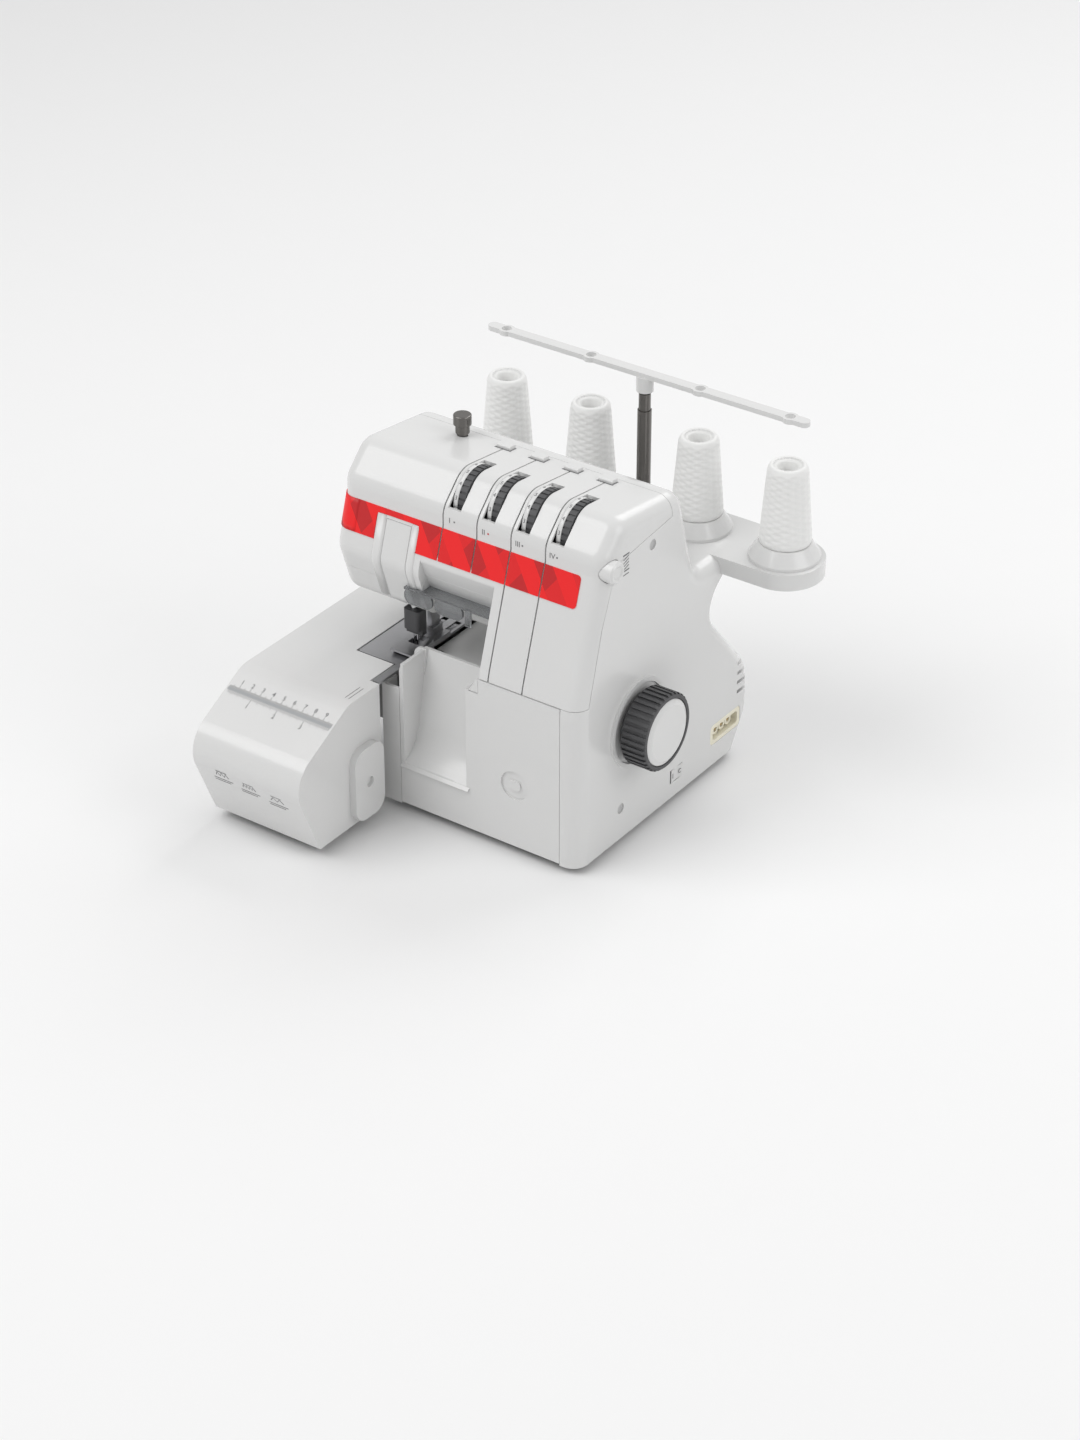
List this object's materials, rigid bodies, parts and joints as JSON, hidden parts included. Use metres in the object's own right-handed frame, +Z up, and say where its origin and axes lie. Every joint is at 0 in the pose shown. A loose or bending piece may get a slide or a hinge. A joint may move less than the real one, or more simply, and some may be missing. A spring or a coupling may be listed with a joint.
{
  "type": "overlock sewing machine",
  "caption": "Overlock sewing machine with a leaning front, tension dials, rear stand with thread cones, slide-off cloth table, tip-down looper cover and side handwheel.",
  "frame": {"origin": "on the table top, under the middle of the machine's bounding box", "axes": "+X to the handwheel side, +Y to the back where the spool stand is, +Z up"},
  "size_m": [0.341, 0.361, 0.305],
  "materials": {
    "white_shell": "gloss",
    "red_trim": "gloss",
    "charcoal": "satin",
    "cream": "satin",
    "grey_cap": "satin",
    "steel": "brushed",
    "bright": "polished",
    "casting": "cast",
    "dark_paint": "satin",
    "rubber": "matt",
    "smoke": "clear tint",
    "thread": "wound thread",
    "brass": "plain"
  },
  "bodies": {
    "machine": {"main_housing": "white_shell", "front_cover": "white_shell", "take_up_cover": "white_shell", "front_band": "red_trim", "spool_stand": "white_shell", "cone_holders": "white_shell", "spool_pins": "bright", "thread_cones": "thread", "mast_outer": "bright", "base_plate": "dark_paint", "rubber_feet": "rubber", "cover_hinge_rod": "steel", "frame_casting": "casting", "shaft_bushes": "brass", "pivot_pins": "steel", "free_arm": "casting", "motor_body": "dark_paint", "motor_bracket": "steel", "drive_belt": "rubber", "needle_plate": "steel", "lower_knife": "steel", "pressure_spring": "steel", "lifter_bracket": "steel", "visor": "smoke", "tension_rail": "steel", "tension_posts": "bright", "tension_discs": "steel", "thread_clips": "white_shell", "inlet_socket": "cream", "inlet_pins": "brass", "screw_plugs": "grey_cap"},
    "handwheel": {"main_shaft": "steel", "handwheel_rim": "charcoal", "handwheel_face": "white_shell", "drive_pulley": "steel"},
    "motor_rotor": {"motor_pulley": "casting"},
    "needle_drive": {"needle_bar": "bright", "needle_clamp": "charcoal", "needles": "bright"},
    "lower_looper": {"lower_looper": "steel"},
    "upper_looper": {"upper_looper": "steel"},
    "upper_knife": {"upper_knife": "steel"},
    "feed_dog": {"feed_dog": "steel"},
    "presser": {"presser_arm": "steel", "presser_foot": "steel"},
    "lifter": {"lifter_lever": "steel"},
    "pressure_screw": {"pressure_screw": "bright"},
    "dial_1": {"tension_dial_1": "charcoal"},
    "dial_2": {"tension_dial_2": "charcoal"},
    "dial_3": {"tension_dial_3": "charcoal"},
    "dial_4": {"tension_dial_4": "charcoal"},
    "release_button": {"release_button": "white_shell"},
    "rocker_switch": {"rocker_switch": "white_shell"},
    "looper_cover": {"looper_cover": "white_shell"},
    "table": {"cloth_plate": "white_shell", "side_lug": "white_shell"},
    "mast_middle": {"mast_middle": "bright"},
    "mast_inner": {"mast_inner": "bright"},
    "guide_bar": {"guide_bar": "white_shell"}
  },
  "joints": [
    {"name": "handwheel_turn", "type": "hinge", "parent": "machine", "child": "handwheel", "pos_m": [0.05, 0.0085, 0.099], "axis": [1, 0, 0], "continuous": true},
    {"name": "motor_turn", "type": "hinge", "parent": "machine", "child": "motor_rotor", "pos_m": [0.05, 0.098, 0.047], "axis": [1, 0, 0], "continuous": true},
    {"name": "needle_stroke", "type": "slide", "parent": "machine", "child": "needle_drive", "axis": [0, 0, 1], "range_m": [0, 0.025]},
    {"name": "lower_looper_swing", "type": "hinge", "parent": "machine", "child": "lower_looper", "pos_m": [-0.1, 0, 0.074], "axis": [0, 1, 0], "range_deg": [0, 19]},
    {"name": "upper_looper_swing", "type": "hinge", "parent": "machine", "child": "upper_looper", "pos_m": [-0.0565, 0, 0.074], "axis": [0, -1, 0], "range_deg": [0, 15]},
    {"name": "upper_knife_swing", "type": "hinge", "parent": "machine", "child": "upper_knife", "pos_m": [-0.066, 0.014, 0.078], "axis": [-1, 0, 0], "range_deg": [0, 8.5]},
    {"name": "feed_stroke", "type": "slide", "parent": "machine", "child": "feed_dog", "axis": [0, 1, 0], "range_m": [0, 0.002]},
    {"name": "presser_lift", "type": "hinge", "parent": "machine", "child": "presser", "pos_m": [-0.078, 0.058, 0.186], "axis": [-1, 0, 0], "range_deg": [0, 4.8]},
    {"name": "lifter_turn", "type": "hinge", "parent": "machine", "child": "lifter", "pos_m": [-0.083, 0.062, 0.148], "axis": [1, 0, 0], "range_deg": [0, 45]},
    {"name": "pressure_screw_turn", "type": "hinge", "parent": "machine", "child": "pressure_screw", "pos_m": [-0.078, 0.038, 0.25], "axis": [0, 0, 1], "range_deg": [-360, 360]},
    {"name": "dial_1_turn", "type": "hinge", "parent": "machine", "child": "dial_1", "pos_m": [-0.031, -0.0066, 0.254], "axis": [1, 0, 0], "range_deg": [-150, 150]},
    {"name": "dial_2_turn", "type": "hinge", "parent": "machine", "child": "dial_2", "pos_m": [-0.0004, -0.0066, 0.254], "axis": [1, 0, 0], "range_deg": [-150, 150]},
    {"name": "dial_3_turn", "type": "hinge", "parent": "machine", "child": "dial_3", "pos_m": [0.0302, -0.0066, 0.254], "axis": [1, 0, 0], "range_deg": [-150, 150]},
    {"name": "dial_4_turn", "type": "hinge", "parent": "machine", "child": "dial_4", "pos_m": [0.0608, -0.0066, 0.254], "axis": [1, 0, 0], "range_deg": [-150, 150]},
    {"name": "release_button_press", "type": "slide", "parent": "machine", "child": "release_button", "axis": [-1, 0, 0], "range_m": [0, 0.004], "stiffness_N_per_m": 300},
    {"name": "rocker_switch_tip", "type": "hinge", "parent": "machine", "child": "rocker_switch", "pos_m": [0.1, 0.063, 0.025], "axis": [0, 0, 1], "range_deg": [-7, 7]},
    {"name": "looper_cover_tip", "type": "hinge", "parent": "machine", "child": "looper_cover", "pos_m": [0, -0.061, 0.017], "axis": [1, 0, 0], "range_deg": [0, 90]},
    {"name": "table_slide", "type": "slide", "parent": "machine", "child": "table", "axis": [-1, 0, 0], "range_m": [0, 0.11]},
    {"name": "mast_middle_draw", "type": "slide", "parent": "machine", "child": "mast_middle", "axis": [0, 0, 1], "range_m": [0, 0.085]},
    {"name": "mast_inner_draw", "type": "slide", "parent": "mast_middle", "child": "mast_inner", "axis": [0, 0, 1], "range_m": [0, 0.085]},
    {"name": "guide_bar_swivel", "type": "hinge", "parent": "mast_inner", "child": "guide_bar", "pos_m": [0.011, 0.1495, 0.3], "axis": [0, 0, 1], "range_deg": [-90, 90]}
  ],
  "couplings": [
    {"joint": "motor_turn", "follows": "handwheel_turn", "ratio": 4},
    {"joint": "lower_looper_swing", "follows": "needle_stroke", "rad_per_m": 12.5},
    {"joint": "upper_looper_swing", "follows": "needle_stroke", "rad_per_m": 10},
    {"joint": "upper_knife_swing", "follows": "needle_stroke", "rad_per_m": 5.5},
    {"joint": "feed_stroke", "follows": "needle_stroke", "ratio": 0.08},
    {"joint": "presser_lift", "follows": "lifter_turn", "ratio": 0.1}
  ]
}
